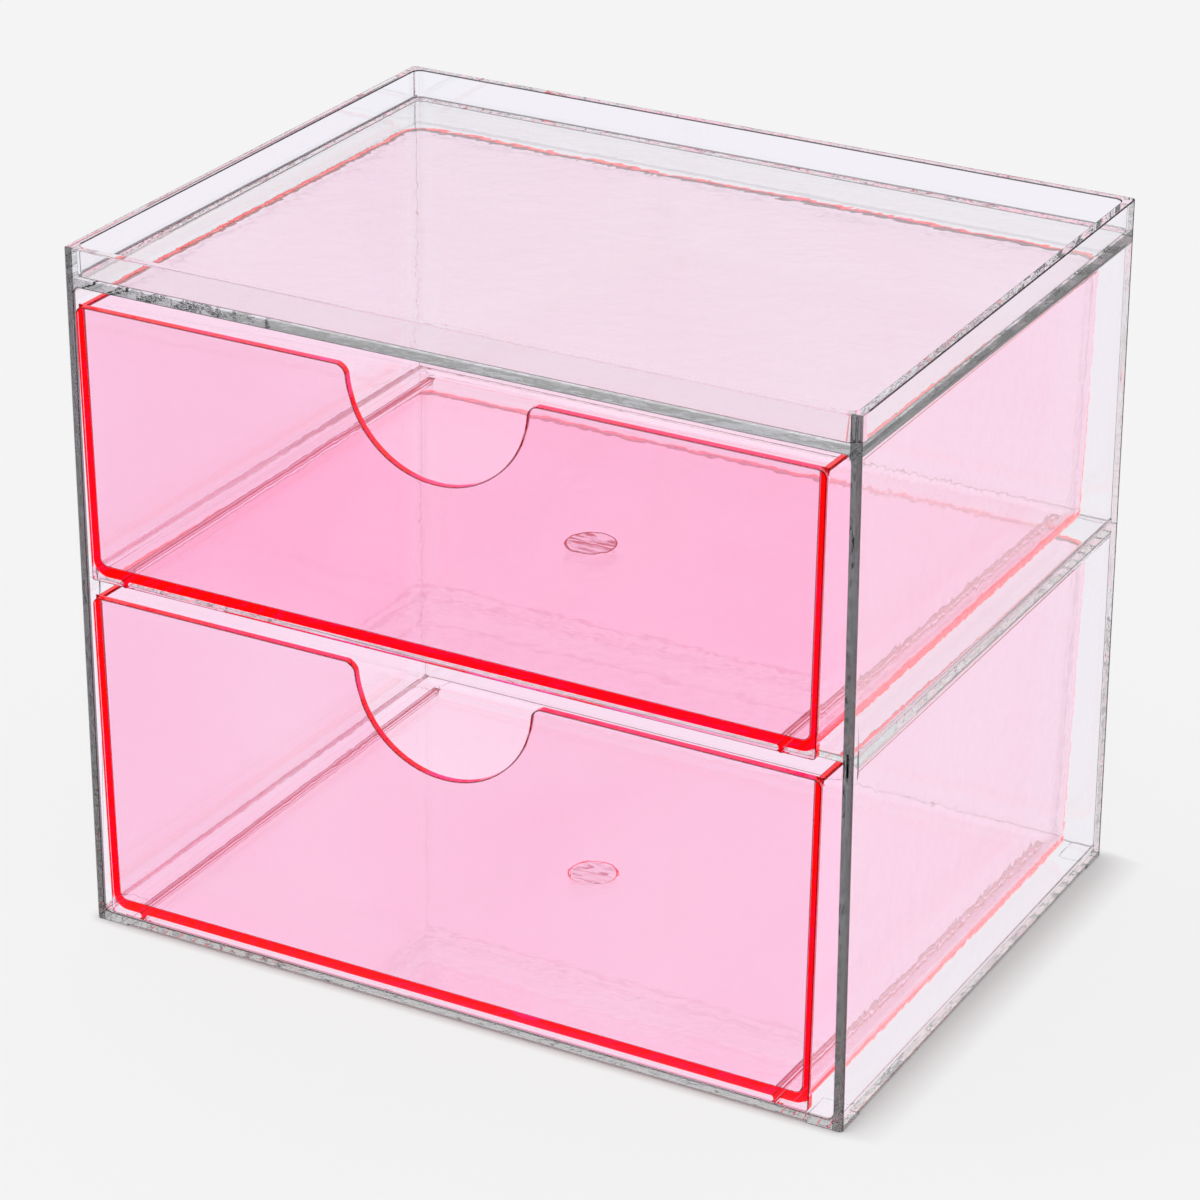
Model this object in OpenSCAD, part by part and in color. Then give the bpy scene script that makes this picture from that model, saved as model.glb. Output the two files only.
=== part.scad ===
// Stackable drawer box: a clear case with two bays, a raised rim round its top, and two drawers.
// Millimetres. +Z is up, the open front faces -Y, and the origin is the bottom centre of the case.

/* [Case] */
// Width across the front
case_w = 175; // [120:0.5:260]
// How much each side closes in toward the back
side_taper = 2.0; // [0:0.1:4]
// Depth from the open front to the back
case_d = 129.5; // [90:0.5:220]
// Overall height from the feet to the rim
case_h = 150.4; // [110:0.1:260]
// Thickness of the side and back walls
wall_t = 2.0; // [1.2:0.1:4]
// Thickness of the floor
floor_t = 1.7; // [1:0.1:4]
// Thickness of the top panel at the open front
panel_t = 1.9; // [1:0.1:4]
// How much thicker the top panel is at the back
panel_drop = 1.0; // [0:0.1:2]
// Height of the rim above the top panel
rim_h = 6.2; // [2:0.1:15]
// Thickness of the rim
rim_t = 1.95; // [1:0.05:4]
// Radius of the front upright corners
front_corner_r = 1.0; // [0.3:0.1:3]
// Radius of the back upright corners
back_corner_r = 1.2; // [0.5:0.1:5]
// Radius inside the corners of each bay
bay_corner_r = 1.8; // [0.5:0.1:4]
// Radius inside the corners of the top tray
tray_corner_r = 2.0; // [0.5:0.1:6]

/* [Feet] */
// Height of the four corner feet
foot_h = 0.5; // [0.3:0.1:3]
// Length of each foot along the sides
foot_l = 8; // [4:0.5:20]

/* [Shelf] */
// Height of the top of the middle shelf
shelf_top = 79.3; // [50:0.1:120]
// Thickness of the middle shelf at the open front
shelf_t = 1.5; // [1:0.1:4]
// How much thicker the shelf is at the back
shelf_drop = 0.6; // [0:0.1:1.5]
// How far the shelf stops short of the open front
shelf_setback = 4.0; // [0:0.1:10]

/* [Drawers] */
// Gap on each side of a drawer that stands in the middle, at the top corners of its front plate
side_gap = 2.65; // [1.5:0.05:6]
// Gap between a drawer's back and the case's back wall, when its plate is flush with the open front
back_gap = 1.3; // [0.3:0.1:10]
// Gap between the upper drawer's plate and the top panel
upper_gap = 3.3; // [0.5:0.1:20]
// Gap between the lower drawer's plate and the shelf
lower_gap = 2.5; // [0.5:0.1:20]
// Lean of the drawer sides, in degrees from upright
side_draft = 0.9; // [0:0.05:3]
// Lean of the drawer back, in degrees from upright
back_draft = 2.4; // [0:0.05:5]
// How much each drawer side closes in toward the back
plan_taper = 1.2; // [0:0.1:3]
// Thickness of the drawer walls
drawer_wall_t = 1.6; // [1:0.1:3]
// How far the walls start below the front plate's top edge
wall_step = 0.2; // [0.1:0.05:3]
// How much lower the walls are at the back than behind the plate
wall_fall = 1.8; // [0:0.1:5]
// Thickness of the front plate
plate_t = 1.6; // [1:0.1:4]
// Thickness of the drawer floor
drawer_floor_t = 2.2; // [1:0.1:4]
// How far the front plate hangs below the drawer floor
plate_drop = 1.0; // [0:0.1:3]
// How far the front plate's sides stand out past the drawer body
plate_lip = 0.05; // [0.02:0.01:1]
// Radius along the bottom edges of the drawer body
body_edge_r = 3.5; // [1:0.1:8]
// Radius of the back upright corners of the drawer body
body_corner_r = 5.0; // [2:0.1:12]
// Radius of the front plate's top corners
plate_top_r = 1.8; // [0.5:0.1:5]
// Radius of the front plate's bottom corners
plate_foot_r = 0.9; // [0.3:0.1:3]

/* [Finger notch] */
// Radius of the finger notch
notch_r = 20; // [10:0.5:35]
// Depth of the notch below the plate's top edge
notch_depth = 20.7; // [6:0.1:34]
// Radius of the shoulders beside the notch
notch_shoulder_r = 2.6; // [0.5:0.1:6]

/* [Runners] */
// Height of the runner ribs below the drawer floor
runner_h = 1.4; // [0.5:0.1:4]
// Width of a runner rib where it leaves the floor
runner_root_w = 1.5; // [0.8:0.1:4]
// Width of a runner rib at its sliding edge
runner_edge_w = 0.8; // [0.4:0.1:3]
// Distance of each runner rib from the drawer's side, at the top of the front plate
runner_inset = 8.55; // [6:0.05:30]

/* [Gate mark] */
// Diameter of the round mark under each drawer floor
gate_d = 10.5; // [4:0.1:20]
// Depth of the round mark
gate_depth = 0.35; // [0.1:0.05:1]

/* [Places at rest] */
// Sideways place of the drawers in their play, negative to the left
lean_x = -1.5; // [-2:0.1:2]
// How far the upper drawer stands proud of the case
upper_proud = 1.2; // [0:0.1:20]
// How far the lower drawer stands proud of the case
lower_proud = 0.3; // [0:0.1:20]

/* [Hidden] */
$fn = 48;
blend = 0.01;
crown = 0.15;
shell_fn = 40;
taper_a = atan(side_taper / case_d);
floor_top = foot_h + floor_t;
panel_top = case_h - rim_h;
panel_under = panel_top - panel_t;
shelf_under = shelf_top - shelf_t;
front_y = -case_d / 2;
back_y = case_d / 2;
seat_drop = runner_h - plate_drop;
upper_z = shelf_top + seat_drop;
lower_z = floor_top + seat_drop;
upper_h = panel_under - upper_gap - upper_z;
lower_h = shelf_under - lower_gap - lower_z;
drawer_w = case_w - 2 * wall_t - 2 * side_gap;
drawer_d = case_d - wall_t - back_gap;
runner_x = drawer_w / 2 - runner_inset;

// ---------------------------------------------------------------- shared plan outline

// X of the left face at depth y, moved inward by "inset".
function left_x(y, inset) = -case_w / 2 + (y - front_y) * tan(taper_a) + inset / cos(taper_a);

// Waste outside a round corner, between two faces whose outward normals are n1 and n2.
// The circle stands "blend" proud of both faces, so that its arc runs cleanly into them.
module corner_waste(c, r, n1, n2) {
    k = r + 1;
    difference() {
        polygon([c, c + k * n1, c + 1.6 * k * (n1 + n2), c + k * n2]);
        translate(c)
            circle(r = r);
    }
}

// Waste at a left corner of the tapered plan outline, beside the face at depth y that faces "dir".
module plan_corner_waste(y, inset, r, dir) {
    yc = y - dir * (r - blend);
    corner_waste([left_x(yc, inset + r - blend), yc], r, [0, dir], [-cos(taper_a), sin(taper_a)]);
}

// Tapered plan outline, moved inward by "inset" at the sides, with front and back corner radii.
// A front radius of 0 leaves the front corners sharp.
module plan_outline(y0, y1, inset, r0, r1) {
    difference() {
        polygon([
            [left_x(y0, inset), y0], [left_x(y1, inset), y1],
            [-left_x(y1, inset), y1], [-left_x(y0, inset), y0]
        ]);
        for (m = [0, 1])
            mirror([m, 0]) {
                if (r0 > 0)
                    plan_corner_waste(y0, inset, r0, -1);
                plan_corner_waste(y1, inset, r1, 1);
            }
    }
}

// ---------------------------------------------------------------- case

// Long bar along one side wall, round at its two lower and upper wall-side edges.
module bay_bar(z0, z1) {
    reach = 1.6 * case_w;
    r = bay_corner_r;
    translate([left_x(front_y, wall_t), front_y, 0])
        rotate([0, 0, -taper_a])
            translate([0, case_d + 20, 0])
                rotate([90, 0, 0])
                    linear_extrude(height = case_d + 40)
                        union() {
                            translate([r, z0])
                                square([reach, z1 - z0]);
                            translate([0, z0 + r])
                                square([reach, z1 - z0 - 2 * r]);
                            translate([r, z0 + r])
                                circle(r = r);
                            translate([r, z1 - r])
                                circle(r = r);
                        }
}

// Everything under a ceiling that is z1 high at the open front and "drop" lower at the back.
module under_ceiling(z1, drop) {
    slope = drop / case_d;
    translate([-case_w, 0, 0])
        rotate([90, 0, 90])
            linear_extrude(height = 2 * case_w)
                polygon([
                    [front_y - 20, -20], [back_y + 20, -20],
                    [back_y + 20, z1 - slope * (case_d + 20)], [front_y - 20, z1 + slope * 20]
                ]);
}

// One bay: open at the front, following the taper of the side walls.
// Its ceiling cuts the upper rounds "crown" below their tops.
module bay(z0, z1, drop) {
    intersection() {
        bay_bar(z0, z1 + crown);
        mirror([1, 0, 0])
            bay_bar(z0, z1 + crown);
        translate([0, 0, z0 - 1])
            linear_extrude(height = z1 - z0 + 2)
                plan_outline(front_y - 5, back_y - wall_t, wall_t, 0, bay_corner_r);
        under_ceiling(z1, drop);
    }
}

module foot_recess() {
    difference() {
        translate([-case_w, -case_d, -1])
            cube([2 * case_w, 2 * case_d, foot_h + 1]);
        for (sx = [-1, 1])
            for (sy = [-1, 1]) {
                x0 = case_w / 2 + 5;
                y0 = case_d / 2 + 5;
                inner_x = (sy < 0 ? case_w / 2 : case_w / 2 - side_taper) - foot_l;
                inner_y = case_d / 2 - foot_l;
                translate([sx > 0 ? inner_x : -x0, sy > 0 ? inner_y : -y0, -2])
                    cube([x0 - inner_x, y0 - inner_y, foot_h + 3]);
            }
    }
}

module case() {
    color([0.86, 0.88, 0.90, 0.35])
        difference() {
            linear_extrude(height = case_h)
                plan_outline(front_y, back_y, 0, front_corner_r, back_corner_r);
            translate([0, 0, panel_top])
                linear_extrude(height = rim_h + 1)
                    plan_outline(front_y + rim_t, back_y - rim_t, rim_t, tray_corner_r, tray_corner_r);
            bay(floor_top, shelf_under, shelf_drop);
            bay(shelf_top, panel_under, panel_drop);
            intersection() {
                bay(floor_top, panel_under, panel_drop);
                translate([-case_w, front_y - 10, 0])
                    cube([2 * case_w, shelf_setback + 10, case_h]);
            }
            foot_recess();
        }
}

// ---------------------------------------------------------------- drawers
// Each drawer is drawn with its front face at y = 0, its plate's lower edge at z = 0 and x = 0 on its centre line.

// Half width of the front plate at height z, for a plate whose top edge is at h.
function half_w(h, z) = drawer_w / 2 - (h - z) * tan(side_draft);

// Half width of the drawer body at depth y and height z.
function side_x(h, y, z) = half_w(h, z) - plan_taper * y / drawer_d;

// Front plate seen from the front.
module plate_outline(h) {
    n = [cos(side_draft), -sin(side_draft)];
    kt = plate_top_r - blend;
    kb = plate_foot_r - blend;
    difference() {
        polygon([
            [-half_w(h, 0), 0], [half_w(h, 0), 0],
            [half_w(h, h), h], [-half_w(h, h), h]
        ]);
        for (m = [0, 1])
            mirror([m, 0]) {
                corner_waste([half_w(h, h - kt) - kt / cos(side_draft), h - kt], plate_top_r, [0, 1], n);
                corner_waste([half_w(h, kb) - kb / cos(side_draft), kb], plate_foot_r, [0, -1], n);
            }
    }
}

// Finger notch: a circle whose sides flow into the top edge through round shoulders.
module notch_outline(h) {
    r = notch_r;
    s = notch_shoulder_r - blend;
    cz = h - notch_depth + r;
    sz = h - s;
    sx = sqrt((r + s) * (r + s) - (cz - sz) * (cz - sz));
    to_middle = [-sx, cz - sz] / (r + s);
    translate([0, cz])
        circle(r = r);
    for (m = [0, 1])
        mirror([m, 0])
            difference() {
                polygon([[sx, sz], [sx, h + 3], [sx - 1.5 * s, h + 3], [sx, sz] + (s + 1) * to_middle]);
                translate([sx, sz])
                    circle(r = notch_shoulder_r);
            }
}

// Smooth tub shape: leaning sides and back, round bottom edges, round back corners.
// "in" is the inset from the outer faces and "zf" the height of its flat underside.
module tub(h, in, zf, z_top, y0) {
    rb = body_edge_r - in;
    rc = body_corner_r - in;
    y_top = drawer_d - in;
    y_low = drawer_d - in - (h - zf) * tan(back_draft);
    hull() {
        for (s = [-1, 1]) {
            // top edge, front and back corner
            translate([s * (side_x(h, y0, z_top) - in) - (s > 0 ? 1 : 0), y0, z_top - 0.5])
                cube([1, 0.5, 0.5]);
            translate([s * (side_x(h, y_top - rc, z_top) - in - rc), y_top - rc, z_top - 0.5])
                cylinder(r = rc, h = 0.5, $fn = shell_fn);
            // bottom edge, front and back corner
            translate([s * (side_x(h, y0, zf + rb) - in - rb), y0 + 0.5, zf + rb])
                rotate([90, 0, 0])
                    cylinder(r = rb, h = 0.5, $fn = shell_fn);
            translate([s * (side_x(h, y_low - rb, zf + rb) - in - rb), y_low - rb, zf + rb])
                sphere(r = rb, $fn = shell_fn);
        }
    }
}

// Runner rib under the floor, full length of the body.
module runner(h) {
    zf = plate_drop;
    y_end = drawer_d - (h - zf) * tan(back_draft) - body_edge_r;
    translate([0, y_end, 0])
        rotate([90, 0, 0])
            linear_extrude(height = y_end - 0.5)
                polygon([
                    [-runner_root_w / 2, zf + 0.4], [-runner_root_w / 2, zf],
                    [-runner_edge_w / 2, zf - runner_h], [runner_edge_w / 2, zf - runner_h],
                    [runner_root_w / 2, zf], [runner_root_w / 2, zf + 0.4]
                ]);
}

// Everything above the walls, whose top edges come down evenly toward the back.
module above_walls(h) {
    slope = wall_fall / (drawer_d - plate_t);
    z0 = h - wall_step;
    translate([-drawer_w, 0, 0])
        rotate([90, 0, 90])
            linear_extrude(height = 2 * drawer_w)
                polygon([
                    [plate_t, h + 3], [plate_t, z0],
                    [drawer_d + 5, z0 - slope * (drawer_d + 5 - plate_t)], [drawer_d + 5, h + 3]
                ]);
}

module drawer(h) {
    zf = plate_drop;
    difference() {
        union() {
            translate([0, plate_t, 0])
                rotate([90, 0, 0])
                    linear_extrude(height = plate_t)
                        plate_outline(h);
            tub(h, plate_lip, zf, h, plate_t - 0.4);
            for (s = [-1, 1])
                translate([s * runner_x, 0, 0])
                    runner(h);
        }
        tub(h, drawer_wall_t + plate_lip, zf + drawer_floor_t, h + 2, plate_t);
        above_walls(h);
        translate([0, plate_t + 0.5, 0])
            rotate([90, 0, 0])
                linear_extrude(height = plate_t + 2)
                    notch_outline(h);
        translate([0, drawer_d / 2 - 2, zf - 1])
            cylinder(d = gate_d, h = 1 + gate_depth);
    }
}

module upper_drawer() {
    color([0.97, 0.62, 0.75, 0.45])
        translate([lean_x, front_y - upper_proud, upper_z])
            drawer(upper_h);
}

module lower_drawer() {
    color([0.97, 0.62, 0.75, 0.45])
        translate([lean_x, front_y - lower_proud, lower_z])
            drawer(lower_h);
}

case();
upper_drawer();
lower_drawer();
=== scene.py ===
"""Stackable drawer box: clear case, pink drawers, pale studio floor."""
import math

import bpy
from mathutils import Matrix, Vector

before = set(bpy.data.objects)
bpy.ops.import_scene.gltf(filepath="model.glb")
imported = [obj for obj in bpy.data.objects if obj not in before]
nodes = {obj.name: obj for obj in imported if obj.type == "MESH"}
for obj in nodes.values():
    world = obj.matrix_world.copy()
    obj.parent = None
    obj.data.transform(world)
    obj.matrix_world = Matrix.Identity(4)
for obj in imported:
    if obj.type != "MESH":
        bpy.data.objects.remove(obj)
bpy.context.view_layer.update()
scene = bpy.context.scene

# ------------------------------------------------------------ places on the object (metres)

HALF_WIDTH, HALF_DEPTH = 0.0875, 0.0648  # the case's footprint
SIDE_LEAN = 0.01544                      # how much a side wall of the case closes in, per metre of depth
PANEL_LEAN = 0.00772                     # how much the top panel's underside falls, per metre of depth
SIDE_FACE = 0.0860                       # beyond it, a point at mid depth lies on a side's outer face
FRONT_FACE = -0.0640                     # before it, a point lies on the open front
POST_INNER = 0.0853                      # the front posts' inner faces
PANEL_UNDER, PANEL_TOP = 0.1418, 0.1442  # the top panel's height at the sides
RIM_FOOT = 0.1443                        # above it, the front is the rim
FLOOR_EDGE = 0.0013                      # below it, a side is the floor's edge
NEAR_SIDE, RIM_LINE = -0.0615, 0.1445    # before the one and above the other, a point lies on the rim's near side
FOOT_INNER = (0.0850, 0.0638, 0.0008)    # within it, a point lies on a foot's inner edge
CORNER_FROM, CORNER_TO = 0.0633, 0.0646  # the depths between which the far right corner turns
WALL_LEAN = 0.0157                       # how much a drawer's side wall closes in, per metre below its top
PLATE_T = 0.0016                         # thickness of a drawer's front plate
PLATE_DROP = 0.0004                      # height of the plate's foot above the ribs'
STEP_NEAR = 0.00004                      # an edge this near the plate's back plane may belong to its step
INSIDE = (0.0008, 0.002, 0.00025)        # how far inside the sides, the foot and the top it is no part of the step
WALL_END = 0.0022                        # the walls' tops lie within this of the plate's top
MARK_R, MARK_RIM = 0.00515, 0.0062       # the gate mark's radius, and a little more than its rim's
EDGE_R = 0.0004                          # how far the bevel reaches from an edge of full weight
SHADOW_FROM, SHADOW_TO = 0.0005, 0.0090  # the painted deep shadow band beside the right side
DARK_TO, PALE_FROM = -0.078, -0.062      # the floor's depths between which its painted reflection turns from dark to pale

# ------------------------------------------------------------ colours

# painted shade: how light the clear plastic's colour is made where it is seen end-on
FRONT_POST, FRONT_BAND, SIDE_BAND = 0.065, 0.40, 0.12
# how much of an edge's painted dark shade shows: in the clear case, in a pink drawer, and on its outlined far corner
CASE_SHARE, PINK_SHARE, CORNER_SHARE = 0.55, 0.75, 0.85
RIM_MORE, NEAR_LESS = 0.30, -0.70  # how that changes round the rim, and further along its near side
STYRENE_IOR = 1.57
CLEAR_DEPTH = (0.04, 0.05, 0.06)
CLEAR_DENSITY = 0.4
CLEAR_RIPPLE = 0.00010
# painted shade on the clear case's rounded edges
CLEAR_EDGE_SHADE = (0.02, 0.02, 0.022)
PINK_DEPTH = (0.20, 0.0, 0.67)
PINK_DENSITY = 64.0
PINK_RIPPLE = 0.00006
# painted shade on a pink drawer's rounded edges
PINK_EDGE_SHADE = (0.16, 0.0, 0.004)
# painted light: the pink plastic's volume glows red, and how strongly
PINK_PAINTED_GLOW = (1.0, 0.0, 0.0)
PAINTED_GLOW_STRENGTH = 76.0
FLOOR_MATT, FLOOR_SEEN, FLOOR_THROUGH = (0.86, 0.86, 0.86), (0.905, 0.905, 0.905), (0.90, 0.887, 0.945)


# ------------------------------------------------------------ node helpers

def new_tree(name):
    """A material with an empty tree, and its output node."""
    material = bpy.data.materials.new(name)
    material.use_nodes = True
    tree = material.node_tree
    tree.nodes.clear()
    out = tree.nodes.new("ShaderNodeOutputMaterial")
    return material, tree, out


def set_inputs(node, **values):
    for key, value in values.items():
        node.inputs[key.replace("_", " ")].default_value = value
    return node


def operate(tree, kind, operation, values):
    """A new node of the kind, whose inputs are sockets or constants."""
    node = tree.nodes.new(kind)
    node.operation = operation
    for socket, value in zip(node.inputs, values):
        if isinstance(value, bpy.types.NodeSocket):
            tree.links.new(value, socket)
        else:
            socket.default_value = value
    return node


def calc(tree, operation, *values):
    """A maths node's output."""
    return operate(tree, "ShaderNodeMath", operation, values).outputs["Value"]


def reach(tree, place, middle):
    """The distance between the two places."""
    return operate(tree, "ShaderNodeVectorMath", "DISTANCE", (place, middle)).outputs["Value"]


def both(tree, *conditions):
    """1 where every condition is 1."""
    product = conditions[0]
    for condition in conditions[1:]:
        product = calc(tree, "MULTIPLY", product, condition)
    return product


def inverse(tree, value):
    return calc(tree, "SUBTRACT", 1.0, value)


def components(tree, place):
    """The place's x, y and z."""
    split = tree.nodes.new("ShaderNodeSeparateXYZ")
    tree.links.new(place, split.inputs["Vector"])
    return split.outputs


def mixed(tree, share, under, over):
    """One shader over another, by the share of the second."""
    mix = tree.nodes.new("ShaderNodeMixShader")
    for socket, value in zip(mix.inputs, (share, under, over)):
        tree.links.new(value, socket)
    return mix.outputs["Shader"]


def shader(tree, kind, output, colour):
    """A new shader of one colour. It gives back its output and the node."""
    node = tree.nodes.new(kind)
    node.inputs["Color"].default_value = (*colour, 1.0)
    return node.outputs[output], node


# ------------------------------------------------------------ plastics

def painted_end_on_shade(tree, place):
    """Painted shade: how light the clear plastic's colour is made where a wall or the top panel is seen end-on, from
    1 down to nearly 0.
    """
    x, y, z = components(tree, place)
    x = calc(tree, "ABSOLUTE", x)
    # the open front: painted dark posts, a painted grey band along the panel and the floor, and a clear rim
    post = calc(tree, "GREATER_THAN", x, POST_INNER)
    rim = both(tree, calc(tree, "GREATER_THAN", z, RIM_FOOT), inverse(tree, post))
    front = both(tree, calc(tree, "LESS_THAN", y, FRONT_FACE), inverse(tree, rim))
    front_tone = calc(tree, "MULTIPLY_ADD", post, FRONT_POST - FRONT_BAND, FRONT_BAND)
    # the sides: painted grey bands at the panel's and the floor's edges, seen through the outer faces
    outer = calc(tree, "GREATER_THAN", calc(tree, "MULTIPLY_ADD", y, SIDE_LEAN, x), SIDE_FACE)
    over = calc(tree, "GREATER_THAN", calc(tree, "MULTIPLY_ADD", y, PANEL_LEAN, z), PANEL_UNDER)
    panel = both(tree, over, calc(tree, "LESS_THAN", z, PANEL_TOP))
    low = calc(tree, "LESS_THAN", z, FLOOR_EDGE)
    side = both(tree, outer, calc(tree, "MAXIMUM", panel, low), inverse(tree, front))
    tone = calc(tree, "MULTIPLY_ADD", side, SIDE_BAND - 1.0, 1.0)
    return calc(tree, "MULTIPLY_ADD", front, calc(tree, "SUBTRACT", front_tone, tone), tone)


def thickness_tone(tree, place):
    """The pink moulding's thickness drifts a little, and its tone with it."""
    drift = set_inputs(tree.nodes.new("ShaderNodeTexNoise"), Scale=9.0, Detail=1.0, Roughness=0.4, Distortion=1.2)
    tone = tree.nodes.new("ShaderNodeMapRange")
    tone.data_type = "FLOAT_VECTOR"
    levels = ((0.35,) * 3, (0.65,) * 3, (1.0, 0.95, 0.975), (1.0,) * 3)
    for socket, level in zip(tone.inputs[7:11], levels):
        socket.default_value = level
    tree.links.new(place, drift.inputs["Vector"])
    tree.links.new(drift.outputs["Fac"], tone.inputs[6])
    return tone.outputs["Vector"]


def painted_edge_shade_share(tree, place, full, mark):
    """How much of the painted dark shade shows on the rounded edges. It is faint along the near side of the rim."""
    edge = tree.nodes.new("ShaderNodeAttribute")
    edge.attribute_name = "edge_line"
    x, y, z = components(tree, place)
    near = calc(tree, "LESS_THAN", y, NEAR_SIDE)
    rim = calc(tree, "GREATER_THAN", z, RIM_LINE)
    more = calc(tree, "MULTIPLY_ADD", near, NEAR_LESS, RIM_MORE)
    share = calc(tree, "MULTIPLY_ADD", rim, more, full)
    share = calc(tree, "MULTIPLY", edge.outputs["Fac"], share)
    if mark:
        ring = calc(tree, "LESS_THAN", reach(tree, place, mark["place"]), MARK_RIM)
        return calc(tree, "MULTIPLY", share, calc(tree, "MULTIPLY_ADD", ring, mark["rim_share"] - 1.0, 1.0))
    # the feet's inner edges get no painted shade
    within = both(tree, calc(tree, "LESS_THAN", calc(tree, "ABSOLUTE", x), FOOT_INNER[0]),
                  calc(tree, "LESS_THAN", calc(tree, "ABSOLUTE", y), FOOT_INNER[1]),
                  calc(tree, "LESS_THAN", z, FOOT_INNER[2]))
    share = both(tree, share, inverse(tree, within))
    # painted shade: the far right corner, where it stands against the light, gets a dark outline
    corner = both(tree, calc(tree, "GREATER_THAN", calc(tree, "MULTIPLY_ADD", y, SIDE_LEAN, x), SIDE_FACE),
                  calc(tree, "GREATER_THAN", y, CORNER_FROM), calc(tree, "LESS_THAN", y, CORNER_TO))
    return calc(tree, "MAXIMUM", share, calc(tree, "MULTIPLY", corner, CORNER_SHARE))


def gate_mark(tree, place, mark):
    """The share and the shader of the rough round mark under a drawer's floor, streaked where the gate tore off."""
    turn = tree.nodes.new("ShaderNodeMapping")
    turn.inputs["Rotation"].default_value = (0.0, 0.0, math.radians(35))
    turn.inputs["Scale"].default_value = (0.35, 1.6, 1.0)
    streaks = set_inputs(tree.nodes.new("ShaderNodeTexNoise"), Scale=420.0, Detail=2.0, Roughness=0.5, Distortion=0.6)
    bands = set_inputs(tree.nodes.new("ShaderNodeMapRange"), From_Min=0.44, From_Max=0.60, To_Min=0.08, To_Max=0.85)
    tree.links.new(place, turn.inputs["Vector"])
    tree.links.new(turn.outputs["Vector"], streaks.inputs["Vector"])
    tree.links.new(streaks.outputs["Fac"], bands.inputs["Value"])
    plan = operate(tree, "ShaderNodeVectorMath", "MULTIPLY", (place, (1.0, 1.0, 0.0)))
    x, y, height = mark["place"]
    from_middle = reach(tree, plan.outputs["Vector"], (x, y, 0.0))
    ragged = calc(tree, "SUBTRACT", streaks.outputs["Fac"], 0.5)
    from_middle = calc(tree, "MULTIPLY_ADD", ragged, mark["fray"], from_middle)
    disc = calc(tree, "LESS_THAN", from_middle, MARK_R)
    under = calc(tree, "LESS_THAN", components(tree, place)["Z"], height)
    torn, _ = shader(tree, "ShaderNodeBsdfTranslucent", "BSDF", mark["colour"])
    return both(tree, disc, under, bands.outputs["Result"]), torn


def clear_plastic(name, absorb, density, ripple, line, glow=None, mark=None):
    """See-through moulded plastic: it refracts, its faces ripple faintly, and its depth colours it.
    line is the colour of the painted dark shade on its rounded edges, glow the colour of a painted red glow in its
    volume, though it is no lamp, and mark the gate mark of a drawer."""
    material, tree, out = new_tree(name)
    new, link = tree.nodes.new, tree.links.new
    place = new("ShaderNodeTexCoord").outputs["Object"]
    body = new("ShaderNodeBsdfPrincipled")
    set_inputs(body, Base_Color=(1.0, 1.0, 1.0, 1.0), Roughness=0.0, IOR=STYRENE_IOR, Transmission_Weight=1.0)
    flow = set_inputs(new("ShaderNodeTexNoise"), Scale=45.0, Detail=4.0, Roughness=0.55)
    bump = set_inputs(new("ShaderNodeBump"), Strength=1.0, Distance=ripple)
    link(place, flow.inputs["Vector"])
    link(flow.outputs["Fac"], bump.inputs["Height"])
    link(bump.outputs["Normal"], body.inputs["Normal"])
    # the case's colour carries the painted end-on shade; a drawer's colour drifts at random
    link(thickness_tone(tree, place) if glow else painted_end_on_shade(tree, place), body.inputs["Base Color"])
    # painted shade: a dark matt shader laid over the rounded edges
    dark, _ = shader(tree, "ShaderNodeBsdfDiffuse", "BSDF", line)
    share = painted_edge_shade_share(tree, place, PINK_SHARE if glow else CASE_SHARE, mark)
    surface = mixed(tree, share, body.outputs["BSDF"], dark)
    if mark:
        share, torn = gate_mark(tree, place, mark)
        surface = mixed(tree, share, surface, torn)
    volume, depth = shader(tree, "ShaderNodeVolumeAbsorption", "Volume", absorb)
    depth.inputs["Density"].default_value = density
    # painted light: a red glow added to the pink volume, though it is no lamp
    if glow:
        light, shine = shader(tree, "ShaderNodeEmission", "Emission", glow)
        shine.inputs["Strength"].default_value = PAINTED_GLOW_STRENGTH
        lit = new("ShaderNodeAddShader")
        link(volume, lit.inputs[0])
        link(light, lit.inputs[1])
        volume = lit.outputs["Shader"]
    link(surface, out.inputs["Surface"])
    link(volume, out.inputs["Volume"])
    return material


def pink_plastic(name, mark):
    return clear_plastic(name, PINK_DEPTH, PINK_DENSITY, PINK_RIPPLE, PINK_EDGE_SHADE, PINK_PAINTED_GLOW, mark)


MATERIALS = {
    "case": clear_plastic("clear_styrene", CLEAR_DEPTH, CLEAR_DENSITY, CLEAR_RIPPLE, CLEAR_EDGE_SHADE),
    "upper_drawer": pink_plastic("pink_styrene_upper", {
        "place": (-0.0015, -0.00485, 0.0815), "colour": (0.90, 0.02, 0.12), "rim_share": 1.0, "fray": 0.0}),
    "lower_drawer": pink_plastic("pink_styrene_lower", {
        "place": (-0.0015, -0.00395, 0.0044), "colour": (0.97, 0.42, 0.55), "rim_share": 0.1, "fray": 0.012}),
}
for name, material in MATERIALS.items():
    # the second slot holds the same plastic, so that the bevel can tell its faces apart
    slots = nodes[name].data.materials
    slots.clear()
    slots.append(material)
    slots.append(material)


# ------------------------------------------------------------ moulded edges

def new_group(name, **inputs):
    """A geometry node tree that passes a mesh through, with more inputs of the given socket types."""
    tree = bpy.data.node_groups.new(name, "GeometryNodeTree")
    tree.interface.new_socket("Geometry", in_out="INPUT", socket_type="NodeSocketGeometry")
    for label, kind in inputs.items():
        tree.interface.new_socket(label.replace("_", " "), in_out="INPUT", socket_type=kind)
    tree.interface.new_socket("Geometry", in_out="OUTPUT", socket_type="NodeSocketGeometry")
    return tree, tree.nodes.new("NodeGroupInput").outputs, tree.nodes.new("NodeGroupOutput")


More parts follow.
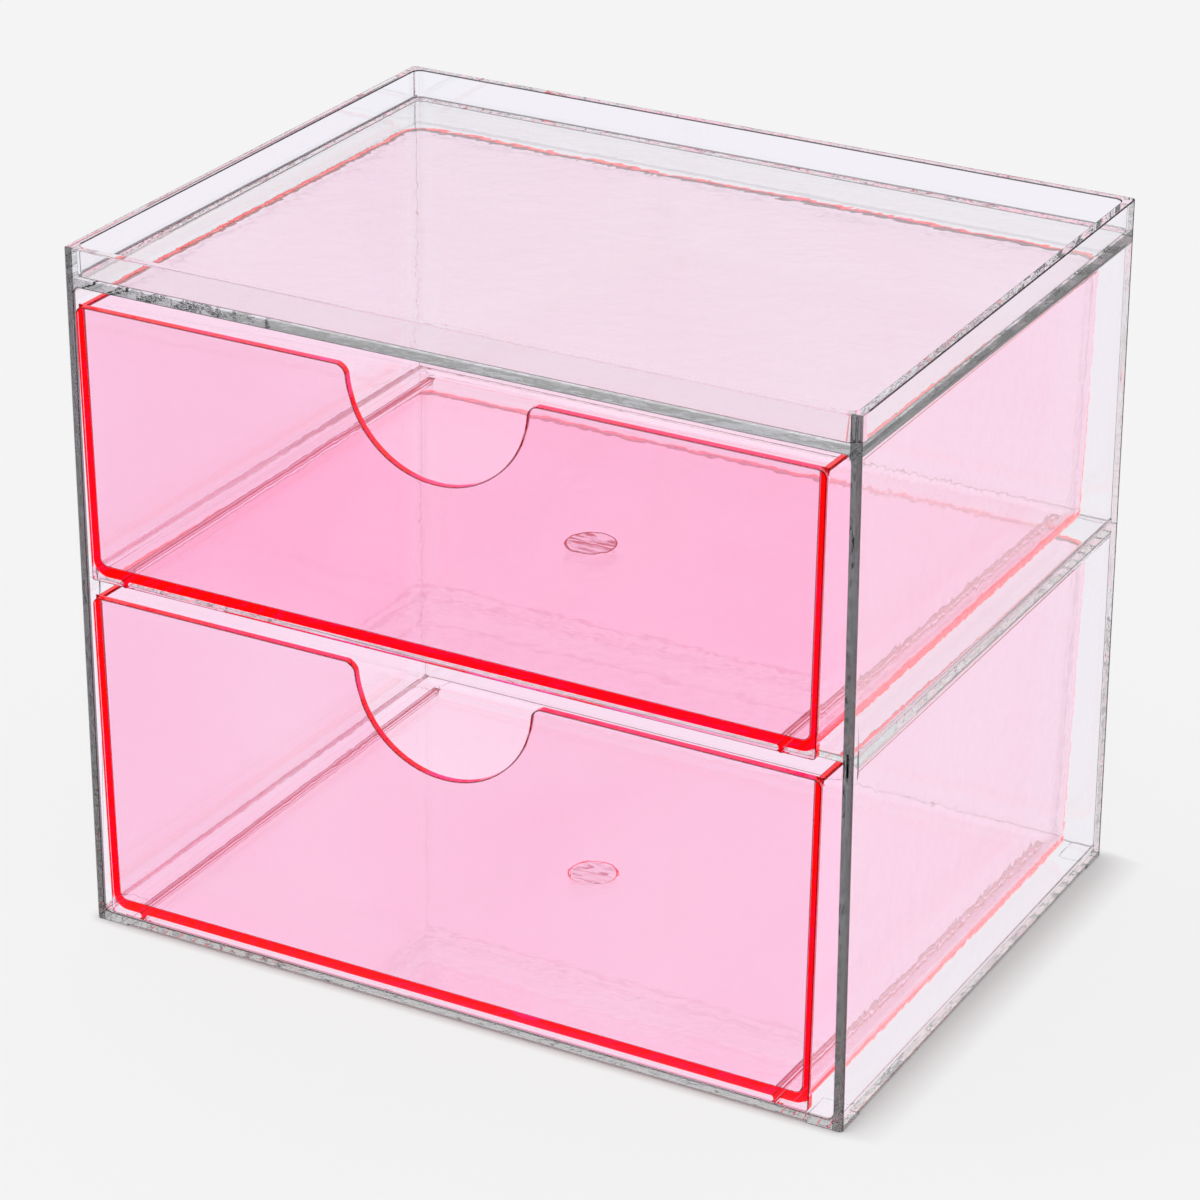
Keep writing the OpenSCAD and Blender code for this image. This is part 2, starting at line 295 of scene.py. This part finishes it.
def chain(tree, first, *steps):
    """Leads the mesh through the steps, one after the other."""
    mesh = first
    for step in steps:
        tree.links.new(mesh, step.inputs["Geometry"])
        mesh = step.outputs["Geometry"] if step.outputs else None


def stored(tree, name, domain, value):
    """A node that stores the value as a number on the mesh."""
    store = tree.nodes.new("GeometryNodeStoreNamedAttribute")
    store.data_type = "FLOAT"
    store.domain = domain
    store.inputs["Name"].default_value = name
    tree.links.new(value, store.inputs["Value"])
    return store


WALL_WEIGHT, EDGE_WEIGHT = 1.0, 0.6  # the bevel's weight on a drawer's wall tops, and on the other crisp edges


def edge_tree():
    """Smooth shading across the round faces, and a bevel weight on every crisp edge but the plate's hair-thin step.
    The top edges of a drawer's walls get the full weight."""
    number = "NodeSocketFloat"
    tree, into, out = new_group("moulded_edges", Step_depth=number, Top=number, Foot=number, Half_width=number,
                                Middle=number)
    new = tree.nodes.new
    plain = new("GeometryNodeRemoveAttribute")
    plain.inputs["Name"].default_value = "custom_normal"
    weld = set_inputs(new("GeometryNodeMergeByDistance"), Distance=0.000001)
    faces, edges = (new("GeometryNodeSetShadeSmooth") for _ in range(2))
    faces.domain, edges.domain = "FACE", "EDGE"
    x, y, z = components(tree, new("GeometryNodeInputPosition").outputs["Position"])
    step, top = into["Step depth"], into["Top"]
    angle = new("GeometryNodeInputMeshEdgeAngle").outputs["Unsigned Angle"]
    sharp = calc(tree, "GREATER_THAN", angle, math.radians(32))
    # the plate's back plane holds the step; only the edges well inside the walls are rounded there
    clear = calc(tree, "GREATER_THAN", calc(tree, "ABSOLUTE", calc(tree, "SUBTRACT", y, step)), STEP_NEAR)
    across = calc(tree, "ABSOLUTE", calc(tree, "SUBTRACT", x, into["Middle"]))
    across = calc(tree, "MULTIPLY_ADD", calc(tree, "SUBTRACT", top, z), WALL_LEAN, across)
    inside = both(tree, calc(tree, "LESS_THAN", across, calc(tree, "SUBTRACT", into["Half width"], INSIDE[0])),
                  calc(tree, "GREATER_THAN", z, calc(tree, "ADD", into["Foot"], INSIDE[1])),
                  calc(tree, "LESS_THAN", z, calc(tree, "SUBTRACT", top, INSIDE[2])))
    crisp = both(tree, sharp, calc(tree, "MAXIMUM", clear, inside))
    wall = both(tree, calc(tree, "GREATER_THAN", y, step),
                calc(tree, "GREATER_THAN", z, calc(tree, "SUBTRACT", top, WALL_END)))
    weight = calc(tree, "MULTIPLY", crisp, calc(tree, "MULTIPLY_ADD", wall, WALL_WEIGHT - EDGE_WEIGHT, EDGE_WEIGHT))
    tree.links.new(inverse(tree, sharp), edges.inputs["Shade Smooth"])
    chain(tree, into["Geometry"], plain, weld, faces, edges, stored(tree, "bevel_weight_edge", "EDGE", weight), out)
    return tree


def line_tree():
    """Marks the bevel's own faces with the attribute edge_line, and gives them the first slot again.
    No corner of the bevel stands out of the moulding's own box, from Low to High."""
    tree, into, out = new_group("edge_lines", Low="NodeSocketVector", High="NodeSocketVector")
    new = tree.nodes.new
    place = new("GeometryNodeInputPosition").outputs["Position"]
    above = operate(tree, "ShaderNodeVectorMath", "MAXIMUM", (place, into["Low"]))
    within = operate(tree, "ShaderNodeVectorMath", "MINIMUM", (above.outputs["Vector"], into["High"]))
    held = new("GeometryNodeSetPosition")
    tree.links.new(within.outputs["Vector"], held.inputs["Position"])
    slot = new("GeometryNodeInputMaterialIndex").outputs["Material Index"]
    chain(tree, into["Geometry"], held, stored(tree, "edge_line", "FACE", slot),
          new("GeometryNodeSetMaterialIndex"), out)
    return tree


def add_group(node, name, tree, **values):
    """A modifier that runs the tree on the node, with its inputs set."""
    modifier = node.modifiers.new(name, "NODES")
    modifier.node_group = tree
    sockets = {item.name: item.identifier for item in tree.interface.items_tree if item.in_out == "INPUT"}
    for label, value in values.items():
        modifier[sockets[label.replace("_", " ")]] = value


EDGES = edge_tree()
LINES = line_tree()
FAR = 9.0  # the case has no plate and no drawer walls, so those places lie far outside it
for name in MATERIALS:
    node = nodes[name]
    low, high = ([pick(v.co[i] for v in node.data.vertices) for i in range(3)] for pick in (min, max))
    step, top = (-FAR, FAR) if name == "case" else (low[1] + PLATE_T, high[2])
    add_group(node, "moulded_edges", EDGES, Step_depth=step, Top=top, Foot=low[2] + PLATE_DROP,
              Half_width=(high[0] - low[0]) / 2, Middle=(high[0] + low[0]) / 2)
    rounded = node.modifiers.new("rounded_edges", "BEVEL")
    rounded.limit_method = "WEIGHT"
    rounded.width = EDGE_R
    rounded.segments = 3
    rounded.use_clamp_overlap = False
    rounded.material = 1
    add_group(node, "edge_lines", LINES, Low=low, High=high)
    flats = node.modifiers.new("flat_faces", "WEIGHTED_NORMAL")
    flats.mode = "FACE_AREA"
    flats.weight = 100
    flats.keep_sharp = True


# ------------------------------------------------------------ floor, world and lamps

NARROWER = 4.0  # how many times narrower the painted shadow band is in front, behind and on the left


def painted_shadow_share(tree, x, y):
    """How much of the floor's real matt shading shows, painted by position. The light comes from the left, and the
    shadow is painted deep in a narrow band along the box's right side, and thin in front, behind and on the left."""
    right = calc(tree, "SUBTRACT", x, HALF_WIDTH)
    left = calc(tree, "MULTIPLY_ADD", x, -NARROWER, -NARROWER * HALF_WIDTH)
    ends = calc(tree, "MULTIPLY_ADD", calc(tree, "ABSOLUTE", y), NARROWER, -NARROWER * HALF_DEPTH)
    beside = calc(tree, "MAXIMUM", calc(tree, "MAXIMUM", right, left), 0.0)
    away = calc(tree, "ADD", beside, calc(tree, "MAXIMUM", ends, 0.0))
    fade = set_inputs(tree.nodes.new("ShaderNodeMapRange"), From_Min=SHADOW_FROM, From_Max=SHADOW_TO,
                      To_Min=0.15, To_Max=0.90)
    tree.links.new(away, fade.inputs["Value"])
    return fade.outputs["Result"]


def floor_material():
    """Pale matt floor with a faint shadow, painted deeper beside the box's right side. Through the plastic it shows
    as the plain background, and mirrored in it as a painted reflection.
    """
    material, tree, out = new_tree("studio_floor")
    new, link = tree.nodes.new, tree.links.new
    x, y, _ = components(tree, new("ShaderNodeTexCoord").outputs["Object"])
    matt, _ = shader(tree, "ShaderNodeBsdfDiffuse", "BSDF", FLOOR_MATT)
    even, _ = shader(tree, "ShaderNodeEmission", "Emission", FLOOR_SEEN)
    through, _ = shader(tree, "ShaderNodeEmission", "Emission", FLOOR_THROUGH)
    # painted reflection: mirrored in the plastic, the floor before the box is painted dark and the floor beside and
    # behind it pale
    off = new("ShaderNodeEmission")
    ramp = set_inputs(new("ShaderNodeMapRange"), From_Min=DARK_TO, From_Max=PALE_FROM, To_Min=0.06, To_Max=0.75)
    link(y, ramp.inputs["Value"])
    link(ramp.outputs["Result"], off.inputs["Strength"])
    rays = new("ShaderNodeLightPath").outputs
    # the matt floor's real shadow, with painted shadow deepening it beside the box
    seen = mixed(tree, painted_shadow_share(tree, x, y), matt, even)
    # painted reflection: glossy rays see the dark-to-pale ramp
    seen = mixed(tree, rays["Is Glossy Ray"], seen, off.outputs["Emission"])
    seen = mixed(tree, rays["Is Transmission Ray"], seen, through)
    link(seen, out.inputs["Surface"])
    return material


FLOOR_HALF, FLOOR_LOW = 3.0, -0.00005
corners = [(-FLOOR_HALF, -FLOOR_HALF, FLOOR_LOW), (FLOOR_HALF, -FLOOR_HALF, FLOOR_LOW),
           (FLOOR_HALF, FLOOR_HALF, FLOOR_LOW), (-FLOOR_HALF, FLOOR_HALF, FLOOR_LOW)]
mesh = bpy.data.meshes.new("studio_floor")
mesh.from_pydata(corners, [], [(0, 1, 2, 3)])
mesh.materials.append(floor_material())
floor = bpy.data.objects.new("studio_floor", mesh)
scene.collection.objects.link(floor)

# soft light from all round, paler from above
world = bpy.data.worlds.new("studio")
scene.world = world
world.use_nodes = True
tree = world.node_tree
tree.nodes.clear()
out = tree.nodes.new("ShaderNodeOutputWorld")
sky = set_inputs(tree.nodes.new("ShaderNodeBackground"), Strength=0.95)
where = tree.nodes.new("ShaderNodeTexCoord")
ramp = tree.nodes.new("ShaderNodeValToRGB")
low_light, high_light = ramp.color_ramp.elements
low_light.position, low_light.color = 0.0, (0.45, 0.45, 0.46, 1)
high_light.position, high_light.color = 0.55, (1.0, 1.0, 1.0, 1)
tree.links.new(components(tree, where.outputs["Generated"])["Z"], ramp.inputs["Fac"])
tree.links.new(ramp.outputs["Color"], sky.inputs["Color"])
tree.links.new(sky.outputs["Background"], out.inputs["Surface"])

# a soft lamp from the upper left
sun_data = bpy.data.lights.new("key", "SUN")
sun_data.energy = 0.6
sun_data.angle = math.radians(50)
sun = bpy.data.objects.new("key", sun_data)
scene.collection.objects.link(sun)
sun.rotation_euler = Vector((-0.40, -0.10, 1.0)).to_track_quat("Z", "Y").to_euler()


# ------------------------------------------------------------ camera

RIGHT = Vector((0.872731, 0.488200, 0.001497))
UP = Vector((-0.208923, 0.370708, 0.904946))
EYE = (0.41486, -0.74732, 0.46933)
data = bpy.data.cameras.new("camera")
data.sensor_width = 36.0
data.lens = 136.88
data.clip_start = 0.05
camera = bpy.data.objects.new("camera", data)
scene.collection.objects.link(camera)
turn = Matrix((RIGHT, UP, RIGHT.cross(UP))).transposed().to_4x4()
camera.matrix_world = Matrix.Translation(EYE) @ turn
scene.camera = camera

# light crosses and follows many thin walls
scene.view_settings.view_transform = "Standard"
scene.cycles.max_bounces = 256
scene.cycles.transmission_bounces = 256
scene.cycles.glossy_bounces = 256
scene.cycles.diffuse_bounces = 4
scene.cycles.transparent_max_bounces = 16
